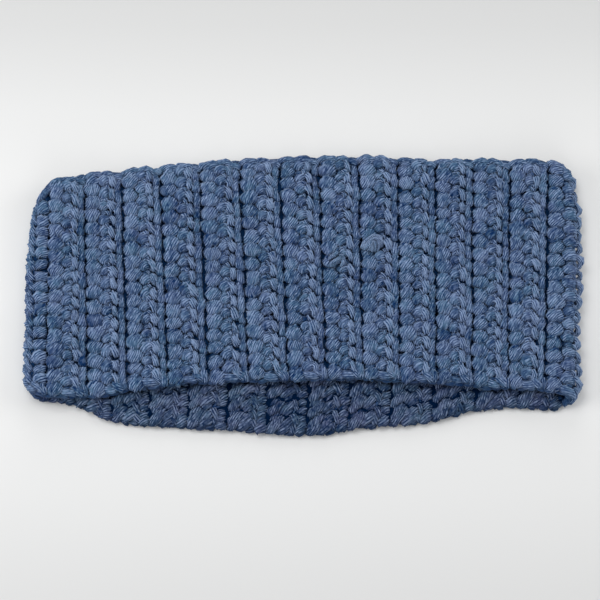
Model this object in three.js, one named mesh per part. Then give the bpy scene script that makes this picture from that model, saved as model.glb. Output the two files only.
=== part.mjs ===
// A ribbed crochet infinity scarf, laid flat. Millimetres, +Z up.
// X runs round the loop's flat width, Y along the rows, from the near mouth to the far one.
// The loop is one crocheted band, closed by a joining seam at the left fold. Its upper stretch
// takes the right fold with it, and its lower stretch lies on the table.
import * as THREE from 'three';

// Sizes of the cloth
const upperRibs = 14; // ribs of the upper stretch, the last one round the right fold
const topRibs = 13; // ribs between the first and the last groove that face up
const lowerRibs = 13;
const insideDepth = 2.6; // from the middle of the wall to its plain inside
const grooveDepth = 2.1; // from the middle of the wall to the bottom of a groove
const ribHeight = 2.5; // a rib's crest above its grooves
const underDepth = 3; // from the middle of the lower wall to its flat underside
const lipGroove = 1.3; // how deep the grooves are on the lip, the inside that shows at the mouth
const lipReach = 0.08; // the lip's share of the rows' length
const lipFade = 0.1; // and the share over which its grooves die out
const seamGap = 0.3; // between the stretches and the seam
const scallop = 1.3; // each row's loop at the two mouths

// How the loop lies
const foldRadius = 4.5; // of the wall's middle, round each fold
const layerGap = 0.5; // between the two stretches
const settle = 40; // over this length the upper stretch comes down from a fold
const mouthLift = 2.4; // the near mouth's upper edge stands up a little
const liftReach = 0.16; // share of the rows' length that the lift fades over
const overhangDrop = 4.8; // the upper stretch comes down past the far edge of the lower one
const dropReach = 20;
const foldStiffness = 0.55; // share of the half width over which a fold holds back lift and drop

// The middle of the whole, so that the origin is at the centre of its box
const middleX = 1.989;
const middleY = 1.353;

const lowerMiddle = underDepth;
const upperMiddle = lowerMiddle + insideDepth + layerGap + insideDepth;
const foldTop = lowerMiddle + 2 * foldRadius;
const crest = grooveDepth + ribHeight;

// The plan. The two folds, from the near mouth (along 0) to the far one (along 1).
const folds = [
  { along: 0, left: -161.3, right: 162 },
  { along: 0.07, left: -163.2, right: 164 },
  { along: 0.3, left: -163.6, right: 165.2 },
  { along: 0.55, left: -164.7, right: 168 },
  { along: 0.83, left: -163.9, right: 168.1 },
  { along: 0.94, left: -162.4, right: 167 },
  { along: 1, left: -160.6, right: 165 },
];

// Where the grooves that face up run, at the near mouth and at the far one
const grooves = [
  { groove: 0, near: -148, far: -151.4 },
  { groove: 1, near: -123.5, far: -130.6 },
  { groove: 3, near: -76.8, far: -84.6 },
  { groove: 6, near: -6.2, far: -12.4 },
  { groove: 9, near: 59, far: 60.1 },
  { groove: 13, near: 143.3, far: 151.2 },
];

// The lower stretch's ribs are wider by the right fold than by the left one
const widestRib = 26.2;

// The two mouths at the grooves, counted round the loop. The right fold's crest is at 13.6,
// the lower stretch runs from 14 to 27, and the seam closes the loop from 27 to 28.
const mouths = [
  { groove: 0, near: -67.2, far: 68.8 },
  { groove: 1, near: -66.6, far: 74 },
  { groove: 2, near: -62.6, far: 78 },
  { groove: 3, near: -60.2, far: 81.6 },
  { groove: 5, near: -57.6, far: 86.4 },
  { groove: 7, near: -56.5, far: 88.3 },
  { groove: 8.5, near: -56.8, far: 88.8 },
  { groove: 10, near: -58.8, far: 86.1 },
  { groove: 12, near: -61.2, far: 84 },
  { groove: 13, near: -63.4, far: 82.8 },
  { groove: 13.6, near: -66.8, far: 77.5 },
  { groove: 14, near: -70, far: 78 },
  { groove: 15, near: -69.4, far: 77 },
  { groove: 16, near: -71.8, far: 75 },
  { groove: 17, near: -78.8, far: 70.5 },
  { groove: 18, near: -81, far: 67.5 },
  { groove: 20, near: -86.2, far: 62.4 },
  { groove: 22, near: -83, far: 62 },
  { groove: 24, near: -80.8, far: 62 },
  { groove: 25, near: -77.8, far: 63.5 },
  { groove: 26, near: -68.4, far: 67 },
  { groove: 27, near: -65.8, far: 66 },
  { groove: 27.5, near: -63.5, far: 57.5 },
  { groove: 28, near: -67.2, far: 68.8 },
];

// One rib from groove to groove: the posts of its first row, the two lines of loops of its
// second row, and a valley between each pair.
const ribShape = [
  { across: 0, rise: 0 },
  { across: 0.07, rise: 0.72 },
  { across: 0.2, rise: 1 },
  { across: 0.34, rise: 0.54 },
  { across: 0.48, rise: 1 },
  { across: 0.66, rise: 0.6 },
  { across: 0.8, rise: 0.86 },
  { across: 0.93, rise: 0.56 },
  { across: 1, rise: 0 },
];

// The seam: two lines of joined edge loops, with a slit between them, and a third underneath.
const seamShape = [
  { across: 0, rise: 0 },
  { across: 0.08, rise: 0.7 },
  { across: 0.2, rise: 0.86 },
  { across: 0.32, rise: 0.6 },
  { across: 0.38, rise: -0.1 },
  { across: 0.44, rise: 0.6 },
  { across: 0.56, rise: 0.86 },
  { across: 0.7, rise: 0.6 },
  { across: 0.85, rise: 0.35 },
  { across: 1, rise: 0.3 },
];

// Rows of points along the cloth, with the share of its thickness that is left at the mouths
const fineRows = [
  { along: 0, thick: 0.42 },
  { along: 0.008, thick: 0.8 },
  { along: 0.028, thick: 1 },
  { along: 0.08, thick: 1 },
  { along: 0.16, thick: 1 },
  { along: 0.38, thick: 1 },
  { along: 0.62, thick: 1 },
  { along: 0.83, thick: 1 },
  { along: 0.91, thick: 1 },
  { along: 0.972, thick: 1 },
  { along: 0.992, thick: 0.8 },
  { along: 1, thick: 0.42 },
];
const leftOut = [0.38, 0.83]; // the lower stretch and the seam bend less and do without these
const plainRows = fineRows.filter((row) => !leftOut.includes(row.along));

// The two small yarn joins on the face: where each lies on the upper stretch
const yarnJoins = [
  { name: 'yarn_join_left', rib: 7.36, along: 0.513, radius: 4.6, height: 1.9 },
  { name: 'yarn_join_right', rib: 8.31, along: 0.584, radius: 6.2, height: 2.6 },
];
const joinGap = 0.4; // clear of the cloth
const joinRings = 3;
const joinSides = 14;
const joinRim = 0.88; // the dome meets its rim at this share of a full half ball's reach

const { lerp: mix, clamp } = THREE.MathUtils;
const ease = (t) => THREE.MathUtils.smoothstep(t, 0, 1);

// A smooth curve through a table's rows: the value of a named column at a given place
function read(table, key, column, at) {
  const place = clamp(at, table[0][key], table[table.length - 1][key]);
  const after = Math.max(1, table.findIndex((row) => row[key] >= place));
  const [low, high] = [table[after - 1], table[after]];
  const before = table[Math.max(0, after - 2)];
  const next = table[Math.min(table.length - 1, after + 1)];
  const slope = (a, b) => (b[column] - a[column]) / Math.max(b[key] - a[key], 1e-9);
  const width = high[key] - low[key];
  const t = (place - low[key]) / width;
  const start = slope(before, high) * width;
  const end = slope(low, next) * width;
  return (
    (2 * t ** 3 - 3 * t ** 2 + 1) * low[column] +
    (t ** 3 - 2 * t ** 2 + t) * start +
    (3 * t ** 2 - 2 * t ** 3) * high[column] +
    (t ** 3 - t ** 2) * end
  );
}

// The height of a rib or of the seam at a share of its width, in straight steps
function rise(shape, at) {
  const after = Math.max(1, shape.findIndex((row) => row.across >= at - 1e-9));
  const [low, high] = [shape[after - 1], shape[after]];
  const share = clamp((at - low.across) / (high.across - low.across), 0, 1);
  return mix(low.rise, high.rise, share);
}

// Where the flat part of the wall meets each fold
const leftTurn = (along) => read(folds, 'along', 'left', along) + crest + foldRadius;
const rightTurn = (along) => read(folds, 'along', 'right', along) - crest - foldRadius;
const grooveX = (groove, along) =>
  mix(read(grooves, 'groove', 'near', groove), read(grooves, 'groove', 'far', groove), along);

const mouthY = (groove, along) => {
  const row = Math.sin(2 * Math.PI * groove);
  const loop = scallop * Math.abs(row);
  const near = read(mouths, 'groove', 'near', groove) - loop;
  const far = read(mouths, 'groove', 'far', groove) + loop;
  return mix(near, far, along);
};

const lowerX = (groove, along) => {
  const count = groove - upperRibs;
  const narrowing = (rightTurn(along) - leftTurn(along) - widestRib * lowerRibs) / lowerRibs ** 2;
  return rightTurn(along) - widestRib * count - narrowing * count ** 2;
};

// The lower stretch's far edge under a place on the upper one
function lowerFarAt(x) {
  const share = clamp((rightTurn(1) - x) / (rightTurn(1) - leftTurn(1)), 0, 1);
  return read(mouths, 'groove', 'far', upperRibs + share * lowerRibs);
}

// The height of the upper wall's middle where it lies flat
function upperHeight(x, y, along) {
  const fromFold = Math.min(rightTurn(along) - x, x - leftTurn(along));
  const held = (foldTop - upperMiddle) * (1 - ease(fromFold / settle));
  const inward = 1 - Math.abs(x) / rightTurn(along);
  const lift = mouthLift * (1 - ease(along / liftReach)) * ease(inward / foldStiffness);
  const past = ease((y - lowerFarAt(x)) / dropReach);
  return upperMiddle + held + lift - overhangDrop * past * ease(inward / foldStiffness);
}

// The middle of the wall at a place round the loop, as a path in the X-Z plane
function path(groove, along) {
  if (groove <= topRibs) {
    const x = grooveX(groove, along);
    return new THREE.Vector2(x, upperHeight(x, mouthY(groove, along), along));
  }
  if (groove <= upperRibs) {
    const turn = rightTurn(along);
    const flat = turn - grooveX(topRibs, along);
    const run = (groove - topRibs) * (flat + Math.PI * foldRadius);
    if (run < flat) {
      const x = turn - flat + run;
      return new THREE.Vector2(x, upperHeight(x, mouthY(groove, along), along));
    }
    const angle = (run - flat) / foldRadius;
    return new THREE.Vector2(
      turn + foldRadius * Math.sin(angle),
      lowerMiddle + foldRadius * (1 + Math.cos(angle)),
    );
  }
  const seamStart = upperRibs + lowerRibs;
  if (groove <= seamStart) {
    return new THREE.Vector2(lowerX(groove, along), lowerMiddle);
  }
  const turn = leftTurn(along);
  const run = (groove - seamStart) * (grooveX(0, along) - turn + Math.PI * foldRadius);
  const angle = run / foldRadius;
  if (angle > Math.PI) {
    const x = turn + run - Math.PI * foldRadius;
    return new THREE.Vector2(x, upperHeight(x, mouthY(groove, along), along));
  }
  return new THREE.Vector2(
    turn - foldRadius * Math.sin(angle),
    lowerMiddle + foldRadius * (1 - Math.cos(angle)),
  );
}

// A point of the cloth, at a given distance outwards from the middle of the wall
const smallStep = 0.02; // of a rib, to find which way the path runs
function onCloth(groove, along, outward, lead = 0) {
  const here = path(groove, along);
  const behind = path(groove - smallStep, along);
  const ahead = path(groove + smallStep, along).sub(behind).normalize();
  return new THREE.Vector3(
    here.x - ahead.y * outward + ahead.x * lead - middleX,
    mouthY(groove, along) - middleY,
    here.y + ahead.x * outward + ahead.y * lead,
  );
}

// A wall between an outer and an inner grid of points, closed at its four edges
function wall(columns, rows, outer, inner) {
  const points = [];
  for (const side of [outer, inner]) {
    for (const column of columns) {
      for (const row of rows) {
        points.push(side(column, row));
      }
    }
  }
  const at = (side, c, r) => side * columns.length * rows.length + c * rows.length + r;
  const faces = [];
  const quad = (a, b, c, d) => faces.push(a, b, c, a, c, d);
  for (let c = 0; c + 1 < columns.length; c++) {
    for (let r = 0; r + 1 < rows.length; r++) {
      quad(at(0, c, r), at(0, c + 1, r), at(0, c + 1, r + 1), at(0, c, r + 1));
      quad(at(1, c, r), at(1, c, r + 1), at(1, c + 1, r + 1), at(1, c + 1, r));
    }
    const end = rows.length - 1;
    quad(at(0, c, 0), at(1, c, 0), at(1, c + 1, 0), at(0, c + 1, 0));
    quad(at(0, c, end), at(0, c + 1, end), at(1, c + 1, end), at(1, c, end));
  }
  for (let r = 0; r + 1 < rows.length; r++) {
    const end = columns.length - 1;
    quad(at(0, 0, r), at(0, 0, r + 1), at(1, 0, r + 1), at(1, 0, r));
    quad(at(0, end, r), at(1, end, r), at(1, end, r + 1), at(0, end, r + 1));
  }
  const geometry = new THREE.BufferGeometry().setFromPoints(points);
  geometry.setIndex(faces);
  return geometry;
}

// The columns of points of whole ribs, with one more between each two on a rib round a fold
function ribColumns(from, count, folded) {
  const columns = [];
  for (let rib = from; rib < from + count; rib++) {
    ribShape.slice(0, -1).forEach((row, i) => {
      columns.push({ groove: rib + row.across, shape: ribShape, share: row.across });
      if (rib === folded && i > 0) {
        const between = (row.across + ribShape[i + 1].across) / 2;
        columns.push({ groove: rib + between, shape: ribShape, share: between });
      }
    });
  }
  columns.push({ groove: from + count, shape: ribShape, share: 1 });
  return columns;
}

// Each stretch stops short of its neighbour by half of the seam's gap
function lead(columns, column) {
  if (column === columns[0]) return seamGap / 2;
  return column === columns[columns.length - 1] ? -seamGap / 2 : 0;
}

const yarn = { color: 0x54698b, roughness: 0.92, metalness: 0 };

function named(name, geometry) {
  const mesh = new THREE.Mesh(geometry, new THREE.MeshStandardMaterial(yarn));
  mesh.name = name;
  return mesh;
}

const outerDepth = (column) => grooveDepth + ribHeight * rise(column.shape, column.share);

// The cloth's outside where it lies on the table, or turns under at a fold, is flat
function outside(columns, column, row, depth) {
  const point = onCloth(column.groove, row.along, depth * row.thick, lead(columns, column));
  point.z = Math.max(point.z, underDepth * (1 - row.thick));
  return point;
}

function upperStretch() {
  const columns = ribColumns(0, upperRibs, topRibs);
  const outer = (column, row) => outside(columns, column, row, outerDepth(column));
  const inner = (column, row) =>
    onCloth(column.groove, row.along, -insideDepth * row.thick, lead(columns, column));
  return wall(columns, fineRows, outer, inner);
}

function lowerStretch() {
  const columns = ribColumns(upperRibs, lowerRibs);
  const under = (column, row) => outside(columns, column, row, underDepth);
  // The inside is plain where it is hidden, and shows its ribs on the lip
  const inside = (column, row) => {
    const shows = 1 - ease((row.along - lipReach) / lipFade);
    const groove = lipGroove * (1 - rise(column.shape, column.share)) * shows;
    const depth = (insideDepth - groove) * row.thick;
    return onCloth(column.groove, row.along, -depth, lead(columns, column));
  };
  return wall(columns, plainRows, under, inside);
}

function joiningSeam() {
  const start = upperRibs + lowerRibs;
  const columns = seamShape.map((row) => ({
    groove: start + 1 - row.across,
    shape: seamShape,
    share: row.across,
  })).reverse();
  const outer = (column, row) => outside(columns, column, row, outerDepth(column));
  const inner = (column, row) =>
    onCloth(column.groove, row.along, -insideDepth * row.thick, lead(columns, column));
  return wall(columns, plainRows, outer, inner);
}

// A yarn join is a low dome whose underside follows the ribs, a little clear of them
function yarnJoin(join) {
  const ribWidth = (grooveX(topRibs, join.along) - grooveX(0, join.along)) / topRibs;
  const rowLength = mouthY(join.rib, 1) - mouthY(join.rib, 0);
  const place = (ring, side, height) => {
    const angle = (2 * Math.PI * side) / joinSides;
    const reach = (join.radius * ring) / joinRings;
    const groove = join.rib + (reach * Math.cos(angle)) / ribWidth;
    const along = join.along + (reach * Math.sin(angle)) / rowLength;
    const depth = grooveDepth + ribHeight * rise(ribShape, groove % 1);
    const dome = height * Math.sqrt(1 - ((joinRim * ring) / joinRings) ** 2);
    return onCloth(groove, along, (height ? crest + dome : depth) + joinGap);
  };
  const points = [];
  const faces = [];
  for (const height of [join.height, 0]) {
    points.push(place(0, 0, height));
    for (let ring = 1; ring <= joinRings; ring++) {
      for (let side = 0; side < joinSides; side++) {
        points.push(place(ring, side, height));
      }
    }
  }
  const half = points.length / 2;
  const at = (layer, ring, side) =>
    layer * half + (ring ? 1 + (ring - 1) * joinSides + (side % joinSides) : 0);
  for (let side = 0; side < joinSides; side++) {
    for (let ring = 0; ring < joinRings; ring++) {
      const top = [at(0, ring, side), at(0, ring + 1, side), at(0, ring + 1, side + 1)];
      const base = [at(1, ring, side), at(1, ring + 1, side + 1), at(1, ring + 1, side)];
      faces.push(...top, ...base);
      if (ring > 0) {
        faces.push(at(0, ring, side), at(0, ring + 1, side + 1), at(0, ring, side + 1));
        faces.push(at(1, ring, side), at(1, ring, side + 1), at(1, ring + 1, side + 1));
      }
    }
    const rim = [at(0, joinRings, side), at(0, joinRings, side + 1)];
    const foot = [at(1, joinRings, side), at(1, joinRings, side + 1)];
    faces.push(rim[0], foot[0], foot[1], rim[0], foot[1], rim[1]);
  }
  const geometry = new THREE.BufferGeometry().setFromPoints(points);
  geometry.setIndex(faces);
  return geometry;
}

const scarf = new THREE.Group();
scarf.add(named('upper_stretch', upperStretch()));
scarf.add(named('lower_stretch', lowerStretch()));
scarf.add(named('joining_seam', joiningSeam()));
for (const join of yarnJoins) {
  scarf.add(named(join.name, yarnJoin(join)));
}

export default scarf;
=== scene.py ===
# Crochet infinity scarf laid flat: yarn strands worked one by one over the cloth's surface.
# Plan sizes below are in millimetres and repeat the part's own; meshes are made in metres.
import math

import bpy
import numpy as np
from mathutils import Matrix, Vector


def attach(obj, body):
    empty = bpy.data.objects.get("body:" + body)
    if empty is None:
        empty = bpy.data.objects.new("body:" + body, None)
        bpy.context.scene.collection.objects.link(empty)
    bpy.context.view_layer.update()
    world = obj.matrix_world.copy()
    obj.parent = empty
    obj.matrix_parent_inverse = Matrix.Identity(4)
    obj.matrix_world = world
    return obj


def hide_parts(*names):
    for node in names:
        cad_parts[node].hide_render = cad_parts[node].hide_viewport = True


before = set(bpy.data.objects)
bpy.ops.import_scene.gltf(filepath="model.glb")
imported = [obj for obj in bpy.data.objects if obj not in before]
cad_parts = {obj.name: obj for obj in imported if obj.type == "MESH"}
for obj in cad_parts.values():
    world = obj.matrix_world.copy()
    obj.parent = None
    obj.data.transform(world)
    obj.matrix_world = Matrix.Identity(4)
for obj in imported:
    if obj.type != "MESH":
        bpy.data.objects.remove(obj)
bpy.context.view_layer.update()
mm = 0.001

# How the cloth lies, the same values as the solids have
cloth = {
    "upperRibs": 14,
    "topRibs": 13,
    "lowerRibs": 13,
    "seamEnd": 28,
    "underDepth": 3.0,
    "insideDepth": 2.6,
    "crest": 4.6,
    "foldRadius": 4.5,
    "layerGap": 0.5,
    "settle": 40.0,
    "mouthLift": 2.4,
    "liftReach": 0.16,
    "overhangDrop": 4.8,
    "dropReach": 20.0,
    "foldStiffness": 0.55,
    "widestRib": 26.2,
    "middle": (1.989, 1.353),
}
foldsLeft = [
    (0, -161.3), (0.07, -163.2), (0.3, -163.6), (0.55, -164.7),
    (0.83, -163.9), (0.94, -162.4), (1, -160.6),
]
foldsRight = [(0, 162), (0.07, 164), (0.3, 165.2), (0.55, 168), (0.83, 168.1), (0.94, 167), (1, 165)]
groovesNear = [(0, -148), (1, -123.5), (3, -76.8), (6, -6.2), (9, 59), (13, 143.3)]
groovesFar = [(0, -151.4), (1, -130.6), (3, -84.6), (6, -12.4), (9, 60.1), (13, 151.2)]
mouthsNear = [
    (0, -67.2), (1, -66.6), (2, -62.6), (3, -60.2), (5, -57.6), (7, -56.5), (8.5, -56.8), (10, -58.8),
    (12, -61.2), (13, -63.4), (13.6, -66.8), (14, -70), (15, -69.4), (16, -71.8), (17, -78.8), (18, -81),
    (20, -86.2), (22, -83), (24, -80.8), (25, -77.8), (26, -68.4), (27, -65.8), (27.5, -63.5), (28, -67.2),
]
mouthsFar = [
    (0, 68.8), (1, 74), (2, 78), (3, 81.6), (5, 86.4), (7, 88.3), (8.5, 88.8), (10, 86.1),
    (12, 84), (13, 82.8), (13.6, 77.5), (14, 78), (15, 77), (16, 75), (17, 70.5), (18, 67.5),
    (20, 62.4), (22, 62), (24, 62), (25, 63.5), (26, 67), (27, 66), (27.5, 57.5), (28, 68.8),
]
lowerMiddle = cloth["underDepth"]
upperMiddle = lowerMiddle + 2 * cloth["insideDepth"] + cloth["layerGap"]
foldTop = lowerMiddle + 2 * cloth["foldRadius"]


def ease(t):
    t = np.clip(t, 0, 1)
    return t * t * (3 - 2 * t)


def readTable(table, at):
    # a smooth curve through the table's rows
    keys, values = np.array(table, float).T
    slopes = np.empty_like(values)
    slopes[1:-1] = (values[2:] - values[:-2]) / (keys[2:] - keys[:-2])
    slopes[0] = (values[1] - values[0]) / (keys[1] - keys[0])
    slopes[-1] = (values[-1] - values[-2]) / (keys[-1] - keys[-2])
    at = np.clip(at, keys[0], keys[-1])
    i = np.clip(np.searchsorted(keys, at, side="right") - 1, 0, len(keys) - 2)
    width = keys[i + 1] - keys[i]
    t = (at - keys[i]) / width
    return (
        (2 * t ** 3 - 3 * t ** 2 + 1) * values[i]
        + (t ** 3 - 2 * t ** 2 + t) * slopes[i] * width
        + (3 * t ** 2 - 2 * t ** 3) * values[i + 1]
        + (t ** 3 - t ** 2) * slopes[i + 1] * width
    )


def leftTurn(along):
    return readTable(foldsLeft, along) + cloth["crest"] + cloth["foldRadius"]


def rightTurn(along):
    return readTable(foldsRight, along) - cloth["crest"] - cloth["foldRadius"]


def grooveX(groove, along):
    near = readTable(groovesNear, groove)
    return near + (readTable(groovesFar, groove) - near) * along


def mouthY(groove, along):
    near = readTable(mouthsNear, groove)
    return near + (readTable(mouthsFar, groove) - near) * along


def lowerX(groove, along):
    count = groove - cloth["upperRibs"]
    right, left = rightTurn(along), leftTurn(along)
    ribs, widest = cloth["lowerRibs"], cloth["widestRib"]
    narrowing = (right - left - widest * ribs) / ribs ** 2
    return right - widest * count - narrowing * count ** 2


def upperHeight(x, y, along):
    right, left = rightTurn(along), leftTurn(along)
    held = (foldTop - upperMiddle) * (1 - ease(np.minimum(right - x, x - left) / cloth["settle"]))
    inward = 1 - np.abs(x) / right
    free = ease(inward / cloth["foldStiffness"])
    lift = cloth["mouthLift"] * (1 - ease(along / cloth["liftReach"])) * free
    farRight, farLeft = rightTurn(1.0), leftTurn(1.0)
    share = np.clip((farRight - x) / (farRight - farLeft), 0, 1)
    lowerFar = readTable(mouthsFar, cloth["upperRibs"] + share * cloth["lowerRibs"])
    past = ease((y - lowerFar) / cloth["dropReach"])
    return upperMiddle + held + lift - cloth["overhangDrop"] * past * free


def wallPath(groove, along):
    # the middle of the wall round the loop, as x and z
    groove, along = np.broadcast_arrays(np.asarray(groove, float), np.asarray(along, float))
    reach = np.clip(along, 0, 1)
    radius = cloth["foldRadius"]
    right, left = rightTurn(reach), leftTurn(reach)
    y = mouthY(groove, along)
    lastTop = grooveX(cloth["topRibs"], reach)
    flat = right - lastTop
    runRight = (groove - cloth["topRibs"]) * (flat + math.pi * radius)
    topX = np.where(groove <= cloth["topRibs"], grooveX(groove, reach), lastTop + np.minimum(runRight, flat))
    angleRight = np.clip((runRight - flat) / radius, 0, math.pi)
    seamStart = cloth["upperRibs"] + cloth["lowerRibs"]
    firstTop = grooveX(0, reach)
    runLeft = (groove - seamStart) * (firstTop - left + math.pi * radius)
    angleLeft = np.clip(runLeft / radius, 0, math.pi)
    x, z = topX, upperHeight(topX, y, reach)
    onRight = (groove > cloth["topRibs"]) & (runRight >= flat) & (groove <= cloth["upperRibs"])
    x = np.where(onRight, right + radius * np.sin(angleRight), x)
    z = np.where(onRight, lowerMiddle + radius * (1 + np.cos(angleRight)), z)
    onLower = (groove > cloth["upperRibs"]) & (groove <= seamStart)
    x = np.where(onLower, lowerX(groove, reach), x)
    z = np.where(onLower, lowerMiddle, z)
    onLeft = (groove > seamStart) & (angleLeft < math.pi)
    x = np.where(onLeft, left - radius * np.sin(angleLeft), x)
    z = np.where(onLeft, lowerMiddle + radius * (1 - np.cos(angleLeft)), z)
    afterLeft = (groove > seamStart) & (angleLeft >= math.pi)
    seamX = left + runLeft - math.pi * radius
    x = np.where(afterLeft, seamX, x)
    z = np.where(afterLeft, upperHeight(seamX, y, reach), z)
    return x, z


def wrapGroove(groove):
    # the loop closes: past the seam comes the first rib again
    return np.mod(groove, cloth["seamEnd"])


def onCloth(groove, along, outward):
    # points in millimetres, and which way is out there
    groove = wrapGroove(np.asarray(groove, float))
    step = 0.03
    x, z = wallPath(groove, along)
    xa, za = wallPath(wrapGroove(groove + step), along)
    xb, zb = wallPath(wrapGroove(groove - step), along)
    dx, dz = xa - xb, za - zb
    size = np.maximum(np.hypot(dx, dz), 1e-9)
    outX, outZ = -dz / size, dx / size
    y = mouthY(groove, along)
    middleX, middleY = cloth["middle"]
    points = np.stack([x + outX * outward - middleX, y - middleY, z + outZ * outward], -1)
    normals = np.stack([outX, np.zeros_like(outX), outZ], -1)
    return points, normals


def rowLength(groove):
    groove = wrapGroove(np.asarray(groove, float))
    return readTable(mouthsFar, groove) - readTable(mouthsNear, groove)


# Yarn

yarn = {
    "plyWidth": 1.4,
    "plyDepth": 0.28,  # of the valley between two plies
    "fewestPlies": 4,
    "ringStep": 1.3,
    "endLength": 1.9,
    "swell": 0.05,  # how much a strand thickens and thins
    "swellLength": 7.0,
    "unevenPlies": 0.28,  # how far some plies stand out
    "ragged": 0.22,
    "pressed": 0.6,  # strands lower than this are flattened by the table
    "toneRange": (-3, 11),
    "cellTone": 0.6,  # how much stitches differ in tone, and strands within a stitch
    "strandTone": 0.7,
}
rng = np.random.default_rng(41)


def curveThrough(points, rings):
    # Catmull-Rom through control points, [strands, controls, 3] to [strands, rings, 3]
    first = 2 * points[:, :1] - points[:, 1:2]
    last = 2 * points[:, -1:] - points[:, -2:-1]
    p = np.concatenate([first, points, last], 1)
    spans = points.shape[1] - 1
    at = np.linspace(0, spans, rings)
    i = np.minimum(at.astype(int), spans - 1)
    t = (at - i)[None, :, None]
    a, b, c, d = p[:, i], p[:, i + 1], p[:, i + 2], p[:, i + 3]
    return 0.5 * (
        2 * b + (c - a) * t + (2 * a - 5 * b + 4 * c - d) * t ** 2 + (3 * b - a - 3 * c + d) * t ** 3
    )


def unit(v):
    return v / np.maximum(np.linalg.norm(v, axis=-1, keepdims=True), 1e-9)


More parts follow.
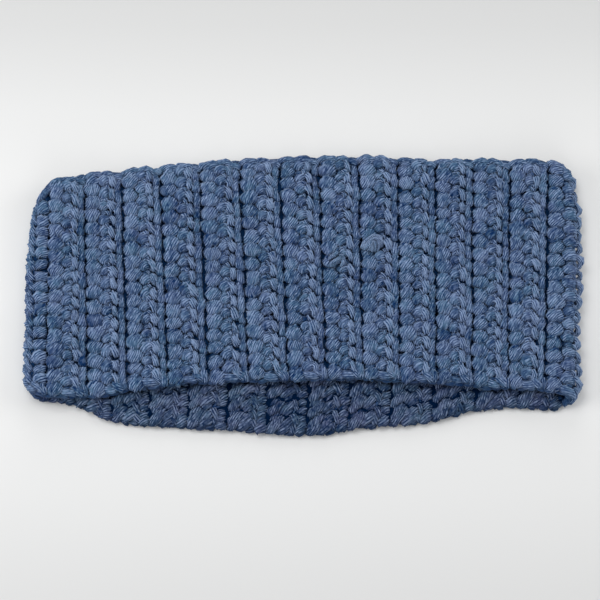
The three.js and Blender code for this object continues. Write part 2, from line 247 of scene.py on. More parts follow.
class Skein:
    # gathers strands and turns them into one mesh
    def __init__(self):
        self.points, self.quads, self.caps, self.maps, self.tones, self.shows = [], [], [], [], [], []
        self.valleys, self.heights = [], []
        self.count = 0

    def add(self, centres, outward, radius, lead=22.0, plyWidth=yarn["plyWidth"], taper=0.5,
            tone=None, show=1.0, broad=1.0, height=None):
        # each ply has a crest line, with a valley line on either side of it; the strand map
        # counts plies round the strand and centimetres along it
        strands, rings, _ = centres.shape
        girth = 2 * math.pi * float(np.mean(radius)) * math.sqrt((1 + broad ** 2) / 2)
        plies = max(yarn["fewestPlies"], round(girth / plyWidth))
        sides = 2 * plies
        tangents = unit(np.gradient(centres, axis=1))
        steps = np.linalg.norm(np.diff(centres, axis=1), axis=-1)
        length = np.concatenate([np.zeros((strands, 1)), np.cumsum(steps, 1)], 1)
        chord = unit(centres[:, -1:] - centres[:, :1])
        heading = tangents + 0.4 * chord
        heading = heading - outward * np.sum(heading * outward, -1, keepdims=True)
        ups = unit(np.cross(np.cross(unit(heading), outward), tangents))
        sidesways = np.cross(tangents, ups) * broad
        radius = np.broadcast_to(np.asarray(radius, float).reshape(-1, 1), (strands, rings)).copy()
        ends = np.minimum(length, length[:, -1:] - length) / yarn["endLength"]
        radius *= taper + (1 - taper) * np.sqrt(np.clip(1 - (1 - np.clip(ends, 0, 1)) ** 2, 0, 1))
        swell = rng.normal(0, yarn["swell"], (strands, 1))
        swellStart = rng.uniform(0, 6.28, (strands, 1))
        radius *= 1 + swell * np.sin(2 * math.pi * length / yarn["swellLength"] + swellStart)
        phase = rng.uniform(0, 2 * math.pi, (strands, 1))
        turn = phase - 2 * math.pi * length / (lead * rng.normal(1, 0.12, (strands, 1)))
        k = np.arange(sides)
        angle = turn[:, :, None] + 2 * math.pi * k / sides
        ring = np.cos(angle)[..., None] * ups[:, :, None] + np.sin(angle)[..., None] * sidesways[:, :, None]
        valley = np.arange(sides) % 2 == 0
        relief = 1 - valley * yarn["plyDepth"] / float(np.mean(radius)) * show
        uneven = rng.normal(0, yarn["unevenPlies"], (strands, 1, sides)) * show
        ragged = rng.normal(0, yarn["ragged"], (strands, rings, sides)) * show
        relief = relief + (uneven + ragged) * ~valley / float(np.mean(radius))
        ring = ring * (radius[..., None] * relief)[..., None]
        points = centres[:, :, None] + ring
        if height is None:
            height = np.full((strands, rings), cloth["crest"])
        high = height[..., None] + np.sum(ring * outward[:, :, None], -1)
        self.heights.append(high.reshape(-1) / cloth["crest"])
        self.points.append(points.reshape(-1, 3))
        base = self.count + np.arange(strands)[:, None, None] * rings * sides
        r = np.arange(rings - 1)[None, :, None] * sides
        a = base + r + k[None, None]
        b = base + r + (k[None, None] + 1) % sides
        quads = np.stack([a, a + sides, b + sides, b], -1)
        self.quads.append(quads.reshape(-1, 4))
        u0 = np.broadcast_to(k / 2, a.shape)
        v0 = np.broadcast_to(length[:, :-1, None] / 10, a.shape)
        v1 = np.broadcast_to(length[:, 1:, None] / 10, a.shape)
        u1 = u0 + 0.5
        maps = np.stack([u0, v0, u0, v1, u1, v1, u1, v0], -1)
        self.maps.append(maps.reshape(-1, 4, 2))
        start = self.count + np.arange(strands)[:, None] * rings * sides + k[None]
        self.caps.append(start)
        self.caps.append((start + (rings - 1) * sides)[:, ::-1])
        if tone is None:
            tone = rng.normal(0, 1, strands)
        self.tones.append(np.repeat(np.clip(tone, *yarn["toneRange"]), rings * sides))
        self.shows.append(np.full(strands * rings * sides, show))
        self.valleys.append(np.tile(valley, strands * rings))
        self.count += strands * rings * sides

    def mesh(self, name):
        points = np.concatenate(self.points)
        pressed = yarn["pressed"]
        low = points[:, 2] < pressed
        points[low, 2] = pressed * np.exp((points[low, 2] - pressed) / pressed)
        quads = np.concatenate(self.quads)
        data = bpy.data.meshes.new(name)
        capLoops = [cap.reshape(-1) for cap in self.caps]
        capSizes = np.concatenate([np.full(len(cap), cap.shape[1]) for cap in self.caps])
        loops = np.concatenate([quads.reshape(-1)] + capLoops)
        totals = np.concatenate([np.full(len(quads), 4), capSizes])
        data.vertices.add(len(points))
        data.vertices.foreach_set("co", (points * mm).reshape(-1).astype(np.float32))
        data.loops.add(len(loops))
        data.loops.foreach_set("vertex_index", loops.astype(np.int32))
        data.polygons.add(len(totals))
        starts = np.concatenate([[0], np.cumsum(totals)[:-1]])
        data.polygons.foreach_set("loop_start", starts.astype(np.int32))
        data.polygons.foreach_set("loop_total", totals.astype(np.int32))
        data.update(calc_edges=True)
        ends = np.empty(len(data.edges) * 2, np.int32)
        data.edges.foreach_get("vertices", ends)
        creased = np.concatenate(self.valleys)[ends].reshape(-1, 2).all(axis=1)
        data.attributes.new("sharp_edge", "BOOLEAN", "EDGE").data.foreach_set("value", creased)
        uv = data.uv_layers.new(name="YarnMap")
        flatMap = np.zeros((len(loops), 2), np.float32)
        flatMap[: len(quads) * 4] = np.concatenate(self.maps).reshape(-1, 2)
        uv.data.foreach_set("uv", flatMap.reshape(-1))
        marks = {"strandTone": self.tones, "plyShow": self.shows, "strandHeight": self.heights}
        for title, values in marks.items():
            attribute = data.attributes.new(title, "FLOAT", "POINT")
            attribute.data.foreach_set("value", np.concatenate(values).astype(np.float32))
        data.polygons.foreach_set("use_smooth", np.ones(len(totals), bool))
        data.update()
        piece = bpy.data.objects.new(name, data)
        bpy.context.scene.collection.objects.link(piece)
        triangles = len(quads) * 2 + int(np.sum(capSizes - 2))
        print(f"{name}: {triangles} triangles")
        return piece


# Stitches. One cell is a rib wide and a stitch long. Each strand lists where it runs:
# across the rib from its left groove, along the rib, and its height over the middle of the wall.

cell = {"rib": 22.8, "stitches": 16, "nearEnd": 3.9, "farEnd": 2.2}
faceStitch = {
    "post": (2.15, 2.08, 26, 0.9, [
        (1.7, -1.4, 0.6), (1.9, -1.2, 1.8), (3.5, -0.5, 2.4),
        (5.4, 0.3, 2.3), (7.0, 1.0, 1.4), (8.1, 1.5, -0.6),
    ]),
    "postUnder": (1.7, 1.35, 24, 0.8, [
        (1.6, 2.6, 0.0), (1.9, 2.8, 1.2), (3.6, 3.5, 1.8), (5.2, 4.2, 1.4), (6.0, 4.6, -0.4),
    ]),
    "arch": (2.0, 1.6, 40, 0.7, [
        (9.0, 3.0, -0.4), (9.5, 4.0, 1.8), (10.9, 4.8, 2.6),
        (12.4, 5.1, 2.3), (13.4, 5.2, 1.0), (13.9, 5.2, -0.4),
    ]),
    "archCurl": (1.35, 1.3, 60, 0.8, [
        (9.6, 7.2, 0.0), (10.4, 8.4, 1.6), (11.5, 8.8, 1.8), (12.5, 8.4, 1.0),
    ]),
    "archUnder": (1.6, 1.3, 40, 0.6, [
        (9.8, 0.2, -0.8), (11.0, 0.7, 0.6), (12.5, 1.3, 0.9), (13.8, 1.9, -0.2),
    ]),
    "sliver": (1.25, 1.15, 70, 1.2, [
        (12.4, 10.7, 0.4), (12.8, 9.8, 2.3), (13.5, 8.6, 2.7), (14.0, 7.3, 0.8),
    ]),
    "leaf": (1.8, 1.08, 60, 1.3, [
        (14.8, 7.2, 0.0), (15.0, 6.4, 2.4), (15.4, 4.9, 3.9),
        (15.9, 3.2, 4.0), (16.3, 1.7, 2.6), (16.6, 0.8, 0.0),
    ]),
    "loop": (1.7, 1.38, -26, 0.7, [
        (19.1, 6.1, -0.4), (19.2, 5.2, 1.4), (19.3, 3.2, 2.0),
        (19.5, 0.8, 2.2), (19.6, -1.4, 1.7), (19.6, -2.5, -0.2),
    ]),
}
lipStitch = {
    "barLeft": (2.4, 1.15, 22, 0.9, [
        (1.5, -1.4, -1.6), (1.8, -0.4, 0.5), (3.6, 1.2, 1.7),
        (6.0, 3.2, 1.9), (8.2, 4.9, 1.1), (9.2, 5.6, -0.6),
    ]),
    "barRight": (2.3, 1.15, 40, 0.7, [
        (7.2, 0.5, -0.8), (8.4, 1.5, 0.7), (10.4, 2.8, 1.4),
        (12.7, 4.1, 1.3), (14.4, 5.1, 0.4), (15.0, 5.7, -1.0),
    ]),
    "barBehind": (2.3, 1.2, 22, 0.7, [(1.2, 3.3, -1.6), (3.0, 4.8, 0.0), (5.2, 6.6, 0.5), (8.0, 8.4, 0.0)]),
    "barUnder": (2.3, 1.2, 40, 0.6, [
        (9.0, -1.4, -1.0), (10.8, -0.4, 0.0), (13.0, 0.7, 0.0), (14.8, 1.6, -0.8),
    ]),
    "slip": (1.9, 1.15, 70, 1.1, [
        (14.4, 8.9, -0.8), (15.2, 7.6, 1.1), (16.0, 5.2, 1.9), (16.7, 2.8, 1.1), (17.0, 1.3, -0.8),
    ]),
    "bumpNear": (2.2, 1.2, 22, 0.9, [
        (17.2, 0.9, -1.0), (18.7, 1.5, 0.9), (20.5, 2.0, 1.1), (22.2, 1.8, -0.8),
    ]),
    "bumpFar": (2.2, 1.2, 22, 0.9, [
        (17.0, 5.1, -1.0), (18.5, 5.7, 0.7), (20.3, 6.2, 1.0), (22.0, 6.1, -0.8),
    ]),
}
seamStitch = {
    "upperLump": (2.1, 1.8, 24, 0.9, [
        (15.4, 2.8, 0.0), (15.7, 3.1, 1.4), (17.2, 3.9, 2.2),
        (19.0, 4.8, 2.0), (20.4, 5.4, 1.0), (21.2, 5.7, -0.6),
    ]),
    "sideInner": (1.7, 1.1, 70, 1.1, [
        (9.8, 9.6, -0.2), (10.4, 8.2, 1.6), (11.6, 5.4, 2.3), (12.9, 2.4, 1.4), (13.4, 1.0, -0.2),
    ]),
    "sideOuter": (2.3, 1.3, 22, 0.8, [
        (9.8, 0.4, -0.4), (8.4, 2.2, 1.6), (7.3, 4.6, 2.1), (7.4, 7.2, 1.3), (8.4, 8.6, -0.2),
    ]),
    "lowerLoop": (2.3, 1.3, 24, 0.8, [
        (2.4, 0.3, -0.4), (2.8, 2.2, 1.0), (3.9, 5.0, 1.3), (4.9, 7.6, 0.8), (5.3, 8.8, -0.4),
    ]),
}
# Round the mouths the second number counts inwards from the edge
nearRim = {
    "edgeSmile": (2.0, 1.2, 80, 0.6, [
        (8.2, 4.6, -0.4), (9.4, 3.2, 1.0), (12.0, 2.4, 1.7), (14.8, 2.4, 1.4), (16.2, 3.0, 0.0),
    ]),
    "edgeSlant": (1.9, 1.1, 70, 1.1, [
        (14.8, 7.0, 0.4), (15.6, 5.4, 2.2), (17.0, 3.6, 2.6), (18.6, 2.2, 1.8), (19.4, 1.5, 0.2),
    ]),
    "edgeUpright": (2.0, 1.1, -60, 1.1, [
        (20.2, 7.0, 0.4), (20.4, 5.2, 1.9), (20.7, 3.4, 2.0), (21.0, 1.8, 1.0), (21.0, 1.0, -0.6),
    ]),
    "lowFirst": (1.9, 1.1, 30, 0.5, [
        (-1.0, 2.8, -1.4), (0.8, 1.8, -0.8), (3.6, 1.7, -0.7), (5.6, 2.4, -1.4),
    ]),
    "lowSecond": (1.9, 1.1, 40, 0.4, [
        (4.6, 2.5, -1.4), (6.6, 1.5, -0.8), (9.8, 1.5, -0.8), (11.8, 2.4, -1.4),
    ]),
    "lowThird": (1.9, 1.1, 30, 0.5, [
        (10.8, 2.4, -1.4), (12.8, 1.4, -0.8), (15.6, 1.5, -0.8), (17.6, 2.5, -1.4),
    ]),
    "lowFourth": (1.9, 1.1, 40, 0.4, [
        (16.6, 2.4, -1.4), (18.6, 1.6, -0.8), (21.0, 1.7, -0.8), (22.6, 2.6, -1.4),
    ]),
}
farRim = {
    "farPost": (2.0, 1.5, 24, 0.9, [
        (1.8, 6.8, 0.2), (2.2, 6.4, 1.6), (4.6, 5.4, 2.3), (7.2, 4.7, 1.3), (8.3, 4.3, -0.4),
    ]),
    "startLump": (2.2, 1.0, 40, 0.7, [
        (-3.0, 4.6, -0.8), (-0.8, 3.1, 0.6), (2.4, 1.8, 1.8),
        (5.8, 1.6, 2.2), (8.6, 2.3, 1.6), (9.8, 3.4, 0.2),
    ]),
    "endLump": (2.1, 1.0, 30, 0.8, [
        (8.2, 3.0, 0.4), (10.4, 1.8, 1.8), (13.4, 1.6, 2.1),
        (16.0, 2.7, 1.8), (17.4, 4.8, 1.0), (17.8, 6.2, 0.0),
    ]),
    "lens": (2.0, 1.0, 60, 0.6, [(15.8, 4.3, 0.4), (18.0, 3.7, 1.9), (20.4, 4.4, 2.2), (22.0, 6.0, 0.8)]),
    "lowLoop": (1.9, 1.0, 24, 0.6, [
        (-0.4, 2.3, -1.2), (3.6, 1.6, -0.8), (9.2, 1.5, -0.9), (13.4, 2.0, -1.2),
    ]),
    "lowCurl": (1.9, 1.0, 24, 0.6, [
        (12.6, 2.0, -1.2), (16.6, 1.5, -0.8), (20.4, 1.7, -0.9), (23.4, 2.6, -1.4),
    ]),
}
# The lower panel's own edge, seen from inside the mouth
lipRim = {
    "barEnd": (2.5, 1.1, 22, 1.0, [
        (1.6, 0.8, -1.4), (2.4, 0.9, 0.4), (4.4, 2.2, 1.5), (6.8, 4.2, 1.3), (8.2, 5.6, 0.0),
    ]),
    "midEnd": (2.4, 1.2, 60, 0.8, [
        (7.0, 0.9, -1.4), (8.4, 1.1, 0.4), (10.6, 2.3, 1.1), (13.2, 4.0, 0.8), (14.6, 5.0, -0.4),
    ]),
    "slipEnd": (2.0, 1.1, 70, 1.0, [
        (14.0, 5.2, 0.0), (14.6, 3.6, 1.1), (15.4, 1.8, 0.9), (15.9, 0.8, -1.0),
    ]),
    "bumpEnd": (2.3, 1.2, 22, 0.8, [
        (16.6, 1.4, -1.2), (18.4, 1.1, 0.6), (20.6, 1.3, 0.7), (22.4, 1.7, -1.2),
    ]),
    "hangFirst": (2.1, 1.1, 24, 0.8, [
        (-0.4, 2.4, -2.0), (0.4, 0.9, -1.0), (2.6, 0.3, -0.8), (4.6, 1.4, -2.0),
    ]),
    "hangSecond": (2.0, 1.1, 30, 0.8, [
        (5.0, 2.4, -2.0), (6.0, 1.0, -1.1), (8.2, 0.5, -0.9), (10.2, 1.7, -2.0),
    ]),
    "hangThird": (2.1, 1.1, 24, 0.8, [
        (10.6, 2.4, -2.0), (11.8, 0.8, -1.0), (14.0, 0.2, -0.9), (15.8, 1.5, -2.0),
    ]),
    "hangFourth": (2.0, 1.1, 24, 0.8, [
        (16.2, 2.4, -2.0), (17.4, 1.0, -1.0), (19.8, 0.6, -0.9), (21.8, 1.6, -2.0),
    ]),
}
# How wide a strand's ends are, blunt or pointed; most are half as wide as the strand
endWidths = {"post": 0.9, "upperLump": 0.75, "leaf": 0.3, "sliver": 0.25, "slip": 0.35}
edgeRound = {"drop": 1.5, "reach": 5.0, "inset": 1.2}


# Rib, share along it and radius of the hollows that the yarn joins lie in
hollows = [(7.36, 0.513, 4.2), (8.31, 0.584, 5.8)]
hollowDepth = 2.2
hollowEdge = 2.5  # over this length a hollow comes back up


def hollowAt(groove, along):
    depth = 0
    for rib, place, radius in hollows:
        away = np.hypot((groove - rib) * cell["rib"], (along - place) * float(rowLength(rib)))
        depth = depth + hollowDepth * (1 - ease((away - radius) / hollowEdge))
    return depth


def layStrands(skein, pattern, grooves, starts, options):
    # lays each strand of a pattern in every cell; starts are distances along the ribs
    side = options.get("side", 1)
    jitter = options.get("jitter", 0.34)
    scale, shift = options.get("heights", (1.0, 0.0))
    tones = options.get("tones", {})
    count = len(grooves)
    wander = rng.normal(0, jitter, (count, 1, 3))
    tilt = rng.normal(0, options.get("tilt", 0.07), (count, len(pattern)))
    cellTone = rng.normal(0, yarn["cellTone"], count)
    for which, (name, (radius, broad, lead, show, run)) in enumerate(pattern.items()):
        run = np.array(run, float)
        points = np.broadcast_to(run, (count, len(run), 3)).copy()
        points += wander * [0.5, 1.0, 0.4] + rng.normal(0, jitter * 0.5, points.shape) * [1, 1, 0.5]
        points += rng.normal(0, jitter * 0.7, (count, 1, 3)) * [0.6, 1.0, 0.6]
        centred = run - run.mean(axis=0)
        turned = np.stack([-centred[:, 1], centred[:, 0], np.zeros(len(run))], -1)
        points += tilt[:, which, None, None] * turned
        size = np.sum(np.linalg.norm(np.diff(run, axis=0), axis=-1))
        rings = max(6, int(size / options.get("ringStep", yarn["ringStep"])) + 1)
        line = curveThrough(points, rings)
        across = line[..., 0] / cell["rib"]
        if options.get("mirror"):
            across = 1 - across
        groove = grooves[:, None] + across
        length = rowLength(groove)
        if options.get("rim") == "far":
            along = 1 - line[..., 1] / length
        elif options.get("rim") == "near":
            along = line[..., 1] / length
        else:
            along = (starts[:, None] + line[..., 1]) / length
        inset = 0 if options.get("rim") else edgeRound["inset"]
        toMouth = np.minimum(along, 1 - along) * length
        fall = 0 if options.get("rim") else edgeRound["drop"] * (1 - ease(toMouth / edgeRound["reach"]))
        height = (line[..., 2] * scale + shift - fall - hollowAt(groove, along)) * side
        along = np.clip(along, inset / length, 1 - inset / length)
        centres, outward = onCloth(groove, along, height)
        tone = cellTone + rng.normal(0, yarn["strandTone"], count)
        tone = tone + options.get("tone", 0.0) + tones.get(name, 0.0)
        sizes = radius * rng.normal(1, 0.08, count)
        skein.add(
            centres, outward * side, sizes, lead, options.get("plyWidth", yarn["plyWidth"]),
            taper=endWidths.get(name, 0.5), tone=tone, show=show, broad=broad, height=height * side,
        )


def workCells(skein, ribs, pattern, **options):
    # crochets a pattern over whole ribs, from one mouth to the other
    low, high = options.get("between", (0.0, 1.0))
    grooves, starts = [], []
    for rib in ribs:
        length = float(rowLength(rib + 0.5))
        nearEnd = options.get("nearEnd", cell["nearEnd"]) + rng.uniform(-0.4, 0.4)
        pitch = (length - nearEnd - cell["farEnd"]) / cell["stitches"]
        for row in range(cell["stitches"]):
            start = nearEnd + row * pitch
            middle = (start + pitch / 2) / length
            if low + 0.01 < middle < high - 0.01:
                grooves.append(rib)
                starts.append(start)
    layStrands(skein, pattern, np.array(grooves, float), np.array(starts), options)


def workRim(skein, ribs, pattern, rim, **options):
    grooves = np.array(list(ribs), float)
    layStrands(skein, pattern, grooves, np.zeros(len(grooves)), dict(options, rim=rim))


# Materials

def newMaterial(name):
    material = bpy.data.materials.new(name)
    material.use_nodes = True
    nodes, links = material.node_tree.nodes, material.node_tree.links
    return material, nodes, links, nodes["Principled BSDF"]


def calculate(nodes, links, operation, first, second=None, third=None):
    node = nodes.new("ShaderNodeMath")
    node.operation = operation
    for socket, value in zip(node.inputs, (first, second, third)):
        if value is None:
            continue
        if isinstance(value, (int, float)):
            socket.default_value = value
        else:
            links.new(value, socket)
    return node.outputs[0]


def addNode(nodes, links, kind, inputs, **settings):
    node = nodes.new(kind)
    for name, value in settings.items():
        setattr(node, name, value)
    for name, value in inputs.items():
        if isinstance(value, bpy.types.NodeSocket):
            links.new(value, node.inputs[name])
        else:
            node.inputs[name].default_value = value
    return node


yarnLook = {
    "teal": (0.092, 0.178, 0.298, 1),
    "body": (0.104, 0.174, 0.308, 1),
    "violet": (0.118, 0.172, 0.316, 1),
    # painted highlight colour: the greyer, lighter colour mixed in where the yarn is painted brightest
    "crest": (0.250, 0.345, 0.540, 1),
    "roughness": 0.8,
    "sheen": 0.08,
    # painted shade colour: the deep navy the yarn goes towards where it is painted darkest
    "depth": (0.002, 0.027, 0.105, 1),
    "paintedShadeFloor": 0.36,  # painted shade: how light the strands are painted where they lie deep between their neighbours
    # between sets the painted shade in the valleys between plies, the ply highlight sets the painted highlight on
    # their crests, and plain is used where plies don't show
    "between": 0.12,
    "plain": 0.9,
    "paintedPlyHighlight": 1.75,
    "base": -0.90,
    "toneShare": 0.16,
    "patchShare": 0.35,
    "dashShare": 2.6,
    "fibreShare": 0.6,
    "specular": 0.06,
    "hueScale": 70.0,
    "patchScale": 160.0,
    "hazeScale": 420.0,
}


def makeYarnMaterial(name, look):
    material, nodes, links, shader = newMaterial(name)
    shader.inputs["Roughness"].default_value = look["roughness"]
    shader.inputs["Sheen Weight"].default_value = look["sheen"]
    shader.inputs["Sheen Roughness"].default_value = 0.5
    shader.inputs["Sheen Tint"].default_value = (0.55, 0.70, 0.95, 1)
    shader.inputs["Specular IOR Level"].default_value = look["specular"]

    def add(kind, inputs, **settings):
        return addNode(nodes, links, kind, inputs, **settings)

    def work(operation, *values):
        return calculate(nodes, links, operation, *values)

    tone = add("ShaderNodeAttribute", {}, attribute_name="strandTone").outputs["Fac"]
    place = add("ShaderNodeTexCoord", {}).outputs["Object"]
    yarnMap = add("ShaderNodeUVMap", {}, uv_map="YarnMap").outputs["UV"]
    hue = add("ShaderNodeTexNoise", {"Vector": place, "Scale": look["hueScale"], "Detail": 2.0}).outputs["Fac"]
    ramp = add("ShaderNodeValToRGB", {"Fac": hue})
    ramp.color_ramp.elements[0].position = 0.38
    ramp.color_ramp.elements[0].color = look["teal"]
    ramp.color_ramp.elements[1].position = 0.64
    ramp.color_ramp.elements[1].color = look["violet"]
    ramp.color_ramp.elements.new(0.5).color = look["body"]

    split = add("ShaderNodeSeparateXYZ", {"Vector": yarnMap})
    around, lengthwise = split.outputs["X"], split.outputs["Y"]
    inPly = work("FRACT", around)
    centred = work("ABSOLUTE", work("MULTIPLY_ADD", inPly, 2.0, -1.0))
    crown = work("SUBTRACT", 1.0, centred)  # 1 on a ply's crest, 0 between two plies; it drives painted shade in the valleys and a painted highlight on the crests
    shade = add("ShaderNodeMapRange", {
        "Value": crown, "From Min": 0.05, "From Max": 0.8, "To Min": look["between"], "To Max": look["paintedPlyHighlight"],
    }, interpolation_type="SMOOTHSTEP").outputs["Result"]
    plyPlace = add("ShaderNodeCombineXYZ", {
        "X": work("MULTIPLY_ADD", work("FLOOR", around), 1.37, 0.41),
        "Y": work("MULTIPLY", lengthwise, 5.0),
        "Z": work("MULTIPLY", tone, 37.0),
    }).outputs["Vector"]
    dashes = add("ShaderNodeTexNoise", {"Vector": plyPlace, "Scale": 1.0, "Detail": 1.0}).outputs["Fac"]
    stretched = add("ShaderNodeMapping", {"Vector": yarnMap, "Scale": (5.0, 6.0, 1.0)}).outputs["Vector"]
    fibre = add("ShaderNodeTexNoise", {"Vector": stretched, "Scale": 1.0, "Detail": 4.0}).outputs["Fac"]
    patches = add("ShaderNodeTexNoise", {"Vector": place, "Scale": look["patchScale"], "Detail": 3.0}).outputs["Fac"]
    plyShow = add("ShaderNodeAttribute", {}, attribute_name="plyShow").outputs["Fac"]
    strandHeight = add("ShaderNodeAttribute", {}, attribute_name="strandHeight").outputs["Fac"]
    clear = add("ShaderNodeMapRange", {
        "Value": strandHeight, "From Min": 0.7, "From Max": 1.05, "To Min": 1.15, "To Max": 0.6,
    }, interpolation_type="SMOOTHSTEP").outputs["Result"]
    haze = add("ShaderNodeTexNoise", {"Vector": place, "Scale": look["hazeScale"], "Detail": 1.0}).outputs["Fac"]
    broken = add("ShaderNodeMapRange", {
        "Value": haze, "From Min": 0.38, "From Max": 0.6, "To Min": 0.05, "To Max": 1.5,
    }).outputs["Result"]
    plyShow = work("MULTIPLY", work("MULTIPLY", plyShow, clear), broken)
    shade = work("MULTIPLY_ADD", work("SUBTRACT", shade, look["plain"]), plyShow, look["plain"])
    value = work("MULTIPLY_ADD", tone, look["toneShare"], look["base"])
    value = work("MULTIPLY_ADD", patches, look["patchShare"], value)
    value = work("MULTIPLY_ADD", dashes, look["dashShare"], value)
    value = work("MULTIPLY_ADD", fibre, look["fibreShare"], value)
    value = work("MULTIPLY", value, shade)
    # painted shade: strands are painted darker the lower they lie between their neighbours
    light = add("ShaderNodeMapRange", {
        "Value": strandHeight, "From Min": 0.0, "From Max": 0.65, "To Min": look["paintedShadeFloor"], "To Max": 1.0,
    }, interpolation_type="SMOOTHSTEP").outputs["Result"]
    value = work("MULTIPLY", value, light)
    # painted shade: low values mix the yarn towards the deep navy shade colour
    colour = add("ShaderNodeMix", {}, data_type="RGBA")
    colour.inputs["A"].default_value = look["depth"]
    links.new(ramp.outputs["Color"], colour.inputs["B"])
    links.new(value, colour.inputs["Factor"])
    # painted highlight: the brightest values mix towards the light crest colour
    paintedHighlight = add("ShaderNodeMix", {}, data_type="RGBA")
    paintedHighlight.inputs["B"].default_value = look["crest"]
    links.new(colour.outputs["Result"], paintedHighlight.inputs["A"])
    links.new(work("MULTIPLY_ADD", value, 0.9, -0.75), paintedHighlight.inputs["Factor"])
    links.new(paintedHighlight.outputs["Result"], shader.inputs["Base Color"])
    height = work("MULTIPLY_ADD", fibre, 0.4, crown)
    bump = add("ShaderNodeBump", {"Strength": 1.0, "Distance": 0.0005, "Height": height})
    links.new(bump.outputs["Normal"], shader.inputs["Normal"])
    return material


# painted shade: the ground behind the strands is a dark navy, darkest where it lies low and on the inner side
def makePaintedShadeGroundMaterial():
    material, nodes, links, shader = newMaterial("paintedShadeClothGround")
    rise = addNode(nodes, links, "ShaderNodeAttribute", {}, attribute_name="rise").outputs["Fac"]
    share = calculate(nodes, links, "MULTIPLY_ADD", rise, 0.22, 0.66)
    ramp = addNode(nodes, links, "ShaderNodeValToRGB", {"Fac": share})
    ramp.color_ramp.elements[0].color = (0.001, 0.009, 0.034, 1)
    ramp.color_ramp.elements.new(0.4).color = (0.004, 0.027, 0.090, 1)
    ramp.color_ramp.elements[-1].color = (0.011, 0.038, 0.105, 1)
    links.new(ramp.outputs["Color"], shader.inputs["Base Color"])
    shader.inputs["Specular IOR Level"].default_value = 0.0
    shader.inputs["Roughness"].default_value = 0.95
    return material


# painted shade: a darker, greyer copy of the yarn's look for the lower panel's lip, which lies in less light under
# the upper panel's edge
paintedShadeLipLook = dict(
    yarnLook, teal=(0.076, 0.132, 0.216, 1), body=(0.084, 0.126, 0.224, 1), violet=(0.099, 0.124, 0.230, 1),
    crest=(0.190, 0.250, 0.390, 1), depth=(0.002, 0.018, 0.068, 1),
)
yarnMaterial = makeYarnMaterial("steelBlueYarn", yarnLook)
paintedShadeLipMaterial = makeYarnMaterial("shadedYarn", paintedShadeLipLook)
paintedShadeGroundMaterial = makePaintedShadeGroundMaterial()


def finishPiece(piece, material):
    piece.data.materials.clear()
    piece.data.materials.append(material)
    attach(piece, "root")
    return piece


# The cloth's ground, a closed band behind the strands

ground = {
    "inside": -1.6,
    "rimInset": 0.016,
    "acrossSteps": 14,
    "alongSteps": 60,
    "settle": 6.0,
}
# across the rib from its left groove, and how high the ground comes there
groundRise = [
    (0, -1.2), (1.2, 0.6), (3.5, 1.4), (5.6, 1.2), (7.3, -0.1), (8.8, -0.1), (10.5, 1.1), (13.4, 1.0),
    (15, -0.2), (17, 0.0), (19, 1.1), (21.2, 0.5), (22.8, -1.2),
]


def makeGround():
    columns = cloth["seamEnd"] * ground["acrossSteps"]
    grooves = np.arange(columns) / ground["acrossSteps"]
    alongs = np.linspace(ground["rimInset"], 1 - ground["rimInset"], ground["alongSteps"])
    g, a = np.meshgrid(grooves, alongs, indexing="ij")
    rise = readTable(groundRise, np.mod(g, 1) * cell["rib"])
    toMouth = np.minimum(a, 1 - a) * rowLength(g)
    onFace = ease((toMouth - 2) / ground["settle"]) * ((g < cloth["upperRibs"]) | (g >= cloth["seamEnd"] - 1))
    rise = np.minimum(rise, 0) + np.maximum(rise, 0) * onFace
    outer, _ = onCloth(g, a, rise)
    inner, _ = onCloth(g, a, np.full_like(g, ground["inside"]))
    outer[..., 2] = np.maximum(outer[..., 2], 0.5)
    rows = ground["alongSteps"]
    points = np.concatenate([outer.reshape(-1, 3), inner.reshape(-1, 3)])
    half = columns * rows
    faces = []
    for c in range(columns):
        d = (c + 1) % columns
        for r in range(rows - 1):
            faces.append((c * rows + r, d * rows + r, d * rows + r + 1, c * rows + r + 1))
            a, b = half + c * rows + r, half + d * rows + r
            faces.append((a, a + 1, b + 1, b))
        faces.append((c * rows, half + c * rows, half + d * rows, d * rows))
        end = rows - 1
        faces.append((c * rows + end, d * rows + end, half + d * rows + end, half + c * rows + end))
    data = bpy.data.meshes.new("scarf_ground")
    data.from_pydata((points * mm).tolist(), [], faces)
    data.polygons.foreach_set("use_smooth", np.ones(len(data.polygons), bool))
    # painted shade: the colour follows the ground's rise, and the inner side is set lowest so it takes the darkest
    # colour
    paintedShadeRise = np.concatenate([rise.reshape(-1), np.full(half, -3.0)])
    data.attributes.new("rise", "FLOAT", "POINT").data.foreach_set("value", paintedShadeRise.astype(np.float32))
    data.update()
    piece = bpy.data.objects.new("scarf_ground", data)
    bpy.context.scene.collection.objects.link(piece)
    return finishPiece(piece, paintedShadeGroundMaterial)


scarfGround = makeGround()
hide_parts("upper_stretch", "lower_stretch", "joining_seam")
print("ground made")


def strandPiece(name, skein, material=None):
    piece = finishPiece(skein.mesh(name), material or yarnMaterial)
    return piece


for index, ribs in enumerate([range(0, 4), range(4, 8), range(8, 11), range(11, 14)]):
    skein = Skein()
    # painted shade: postUnder and archUnder, which lie under the other strands, are toned darker; leaf and sliver
    # are toned lighter
    workCells(skein, ribs, faceStitch, tones={"leaf": 3.6, "sliver": 2.4, "postUnder": -2.4, "archUnder": -2.2})
    strandPiece(f"face_stitches_{index + 1}", skein)

skein = Skein()
# painted shade: the lip's strands are toned darker, and the bars behind and under the others darker still
workCells(skein, range(14, 27), lipStitch, side=-1, mirror=True, between=(0.0, 0.28), nearEnd=2.6, tone=-0.8,
          plyWidth=1.6, tones={"barBehind": -0.8, "barUnder": -0.8})
strandPiece("lip_stitches", skein, paintedShadeLipMaterial)

skein = Skein()
workCells(skein, range(27, 28), seamStitch)
strandPiece("seam_stitches", skein)

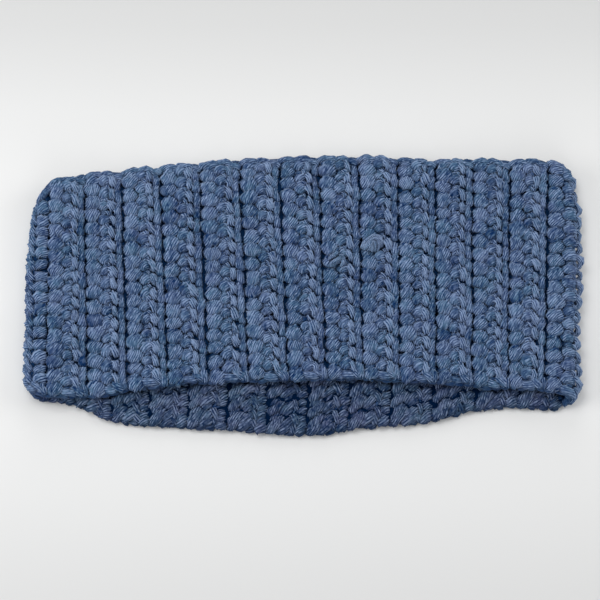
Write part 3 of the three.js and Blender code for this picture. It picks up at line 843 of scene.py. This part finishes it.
skein = Skein()
workRim(skein, [*range(0, 14), 27], nearRim, "near")
workRim(skein, range(0, 28), farRim, "far")
strandPiece("mouth_edges", skein)

skein = Skein()
# painted shade: the lip's edge strands are toned darker
workRim(skein, range(14, 27), lipRim, "near", side=-1, mirror=True, tone=-0.8, plyWidth=1.6)
strandPiece("lip_edge", skein, paintedShadeLipMaterial)

underSkein = Skein()
underStitch = {name: faceStitch[name] for name in ("post", "arch", "leaf", "loop")}
workCells(underSkein, range(14, 27), underStitch, heights=(0.45, -0.3), plyWidth=2.4, ringStep=1.8)
strandPiece("underside_stitches", underSkein)

print("stitches worked")

# The two yarn joins: loosened plies that lie on the stitches.
# Places are across and along the cloth from the join's middle, and heights are over the stitches.

joins = {
    "yarn_tuft_left": {
        "node": "yarn_join_left",
        "tones": (2, 4),
        "rib": 7.36,
        "along": 0.513,
        "strands": [
            (1.9, [
                (-4.6, -3.4, -1.8), (-2.4, -1.6, -0.5),
                (0.4, 0.2, -0.2), (2.6, 1.2, -0.7), (3.6, 1.4, -2.0),
            ]),
            (1.0, [(-5.0, 0.2, -0.8), (-3.8, 1.8, 0.8), (-2.6, 3.4, -0.6)]),
            (1.0, [(-3.3, 1.3, -0.6), (-2.1, 2.9, 0.9), (-1.0, 4.4, -0.6)]),
            (1.0, [(-1.6, 2.3, -0.6), (-0.5, 3.9, 0.8), (0.7, 5.2, -0.8)]),
            (1.4, [
                (-4.8, -3.0, -1.4), (-2.8, -1.6, 0.6), (-0.6, -0.4, 1.1), (1.2, 0.8, 0.4), (1.8, 1.4, -0.8),
            ]),
            (1.2, [
                (1.2, 3.0, -0.4), (2.9, 2.0, 1.0), (3.8, -0.2, 1.2), (3.3, -2.4, 0.8), (1.8, -3.8, -1.0),
            ]),
        ],
    },
    "yarn_tuft_right": {
        "node": "yarn_join_right",
        "tones": (2.5, 5.5),
        "rib": 8.31,
        "along": 0.584,
        "strands": [
            (2.3, [
                (-5.8, -2.6, -2.0), (-3.0, -0.8, -0.8),
                (0.5, 0.6, -0.5), (3.4, 0.4, -0.9), (5.2, -0.6, -2.2),
            ]),
            (1.1, [
                (-7.4, -2.6, -1.2), (-5.8, -0.4, 0.4), (-3.8, 2.6, 1.0), (-0.6, 4.7, 1.1), (2.6, 4.5, 1.0),
                (4.8, 2.5, 0.6), (5.8, 0.2, -0.8),
            ]),
            (1.1, [
                (-6.8, -3.0, -0.8), (-4.8, -1.2, 0.8), (-2.6, 1.2, 1.4), (0.0, 3.0, 1.6), (2.2, 2.8, 1.4),
                (3.6, 1.2, 0.9), (4.2, -0.8, -0.2),
            ]),
            (1.1, [
                (-5.8, -3.7, -0.8), (-3.8, -2.4, 0.8), (-2.0, -0.6, 1.6), (-0.6, 0.8, 1.9), (0.6, 0.4, 2.0),
                (0.9, -1.6, 1.7), (0.7, -4.9, -0.8),
            ]),
            (1.0, [(-0.9, -4.8, -0.8), (-0.8, -3.0, 1.0), (-0.7, -1.2, 1.5), (-0.5, 0.4, 1.3)]),
            (1.0, [(2.2, 1.6, 1.0), (2.9, -0.4, 1.4), (2.8, -2.4, 1.2), (2.0, -4.6, -0.8)]),
            (1.0, [(-3.6, -4.3, -1.0), (-2.6, -3.0, 0.6), (-1.8, -1.6, 1.2), (-1.2, 0.0, 1.3)]),
        ],
    },
}
stitchTop = 3.9


def makeJoin(name, join):
    skein = Skein()
    length = float(rowLength(join["rib"]))
    for radius, run in join["strands"]:
        strand = curveThrough(np.array([run], float), 18)
        groove = join["rib"] + strand[..., 0] / cell["rib"]
        along = join["along"] + strand[..., 1] / length
        centres, outward = onCloth(groove, along, strand[..., 2] + stitchTop)
        # painted highlight: the tufts' strands are toned lighter, so the raised tufts stand out bright
        skein.add(centres, outward, radius, tone=rng.uniform(*join["tones"], 1), show=0.8, plyWidth=1.1)
    piece = finishPiece(skein.mesh(name), yarnMaterial)
    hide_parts(join["node"])


for name, join in joins.items():
    makeJoin(name, join)


# Table, light and camera

setting = {
    "elevation": 70.0,
    "distance": 1.2,
    "lens": 121.0,
    "aim": (-0.0021, -0.0070, 0.008),
    # painted light and shade: how light the table is painted, from nearest to farthest
    "tablePaintedLight": [
        (0.05, 0.66), (0.13, 0.68), (0.26, 0.745), (0.5, 0.83), (0.74, 0.735), (0.86, 0.64), (0.95, 0.60),
    ],
}


# place, size and power of each lamp
lamps = {
    "overhead": ((-0.4, 0.3, 1.3), 0.8, 6.4),
    "frontSide": ((0.2, -1.3, 0.7), 1.0, 4),
    "leftSide": ((-1.3, -0.1, 0.7), 1.0, 9.5),
    "rightSide": ((1.3, 0.2, 0.7), 1.0, 7.5),
    "backSide": ((0.0, 1.3, 0.7), 1.0, 4.5),
}


def makeTable():
    data = bpy.data.meshes.new("table_top")
    reach = 3.0
    corners = [(-reach, -reach, 0), (reach, -reach, 0), (reach, reach, 0), (-reach, reach, 0)]
    data.from_pydata(corners, [], [(0, 1, 2, 3)])
    table = bpy.data.objects.new("table_top", data)
    table.location.z = -0.0001
    bpy.context.scene.collection.objects.link(table)
    material, nodes, links, shader = newMaterial("whiteTable")
    place = addNode(nodes, links, "ShaderNodeTexCoord", {}).outputs["Object"]
    depth = addNode(nodes, links, "ShaderNodeSeparateXYZ", {"Vector": place}).outputs["Y"]
    share = calculate(nodes, links, "MULTIPLY_ADD", depth, 2.0, 0.5)
    ramp = addNode(nodes, links, "ShaderNodeValToRGB", {"Fac": share})
    # painted light and shade: the table's colour follows its depth
    for position, tone in setting["tablePaintedLight"]:
        ramp.color_ramp.elements.new(position).color = (tone, tone, tone * 0.99, 1)
    ramp.color_ramp.elements.remove(ramp.color_ramp.elements[0])
    ramp.color_ramp.elements.remove(ramp.color_ramp.elements[-1])
    links.new(ramp.outputs["Color"], shader.inputs["Base Color"])
    shader.inputs["Roughness"].default_value = 0.9
    data.materials.append(material)


def addLight(name, place, size, power):
    light = bpy.data.lights.new(name, "AREA")
    light.shape = "DISK"
    light.size = size
    light.energy = power
    lamp = bpy.data.objects.new(name, light)
    lamp.location = place
    lamp.rotation_euler = (Vector((0, 0, 0)) - Vector(place)).to_track_quat("-Z", "Y").to_euler()
    bpy.context.scene.collection.objects.link(lamp)


def makeCamera():
    elevation = math.radians(setting["elevation"])
    aim = Vector(setting["aim"])
    camera = bpy.data.cameras.new("photoCamera")
    camera.lens = setting["lens"]
    camera.sensor_width = 36
    camera.clip_end = 20
    viewer = bpy.data.objects.new("photoCamera", camera)
    viewer.location = aim + setting["distance"] * Vector((0, -math.cos(elevation), math.sin(elevation)))
    viewer.rotation_euler = (aim - viewer.location).to_track_quat("-Z", "Y").to_euler()
    bpy.context.scene.collection.objects.link(viewer)
    bpy.context.scene.camera = viewer


makeTable()
for name, lamp in lamps.items():
    addLight(name, *lamp)
makeCamera()
world = bpy.data.worlds.new("softRoom")
world.use_nodes = True
world.node_tree.nodes["Background"].inputs["Color"].default_value = (0.95, 0.97, 1.0, 1)
world.node_tree.nodes["Background"].inputs["Strength"].default_value = 0.35
bpy.context.scene.world = world
bpy.context.scene.view_settings.view_transform = "Standard"
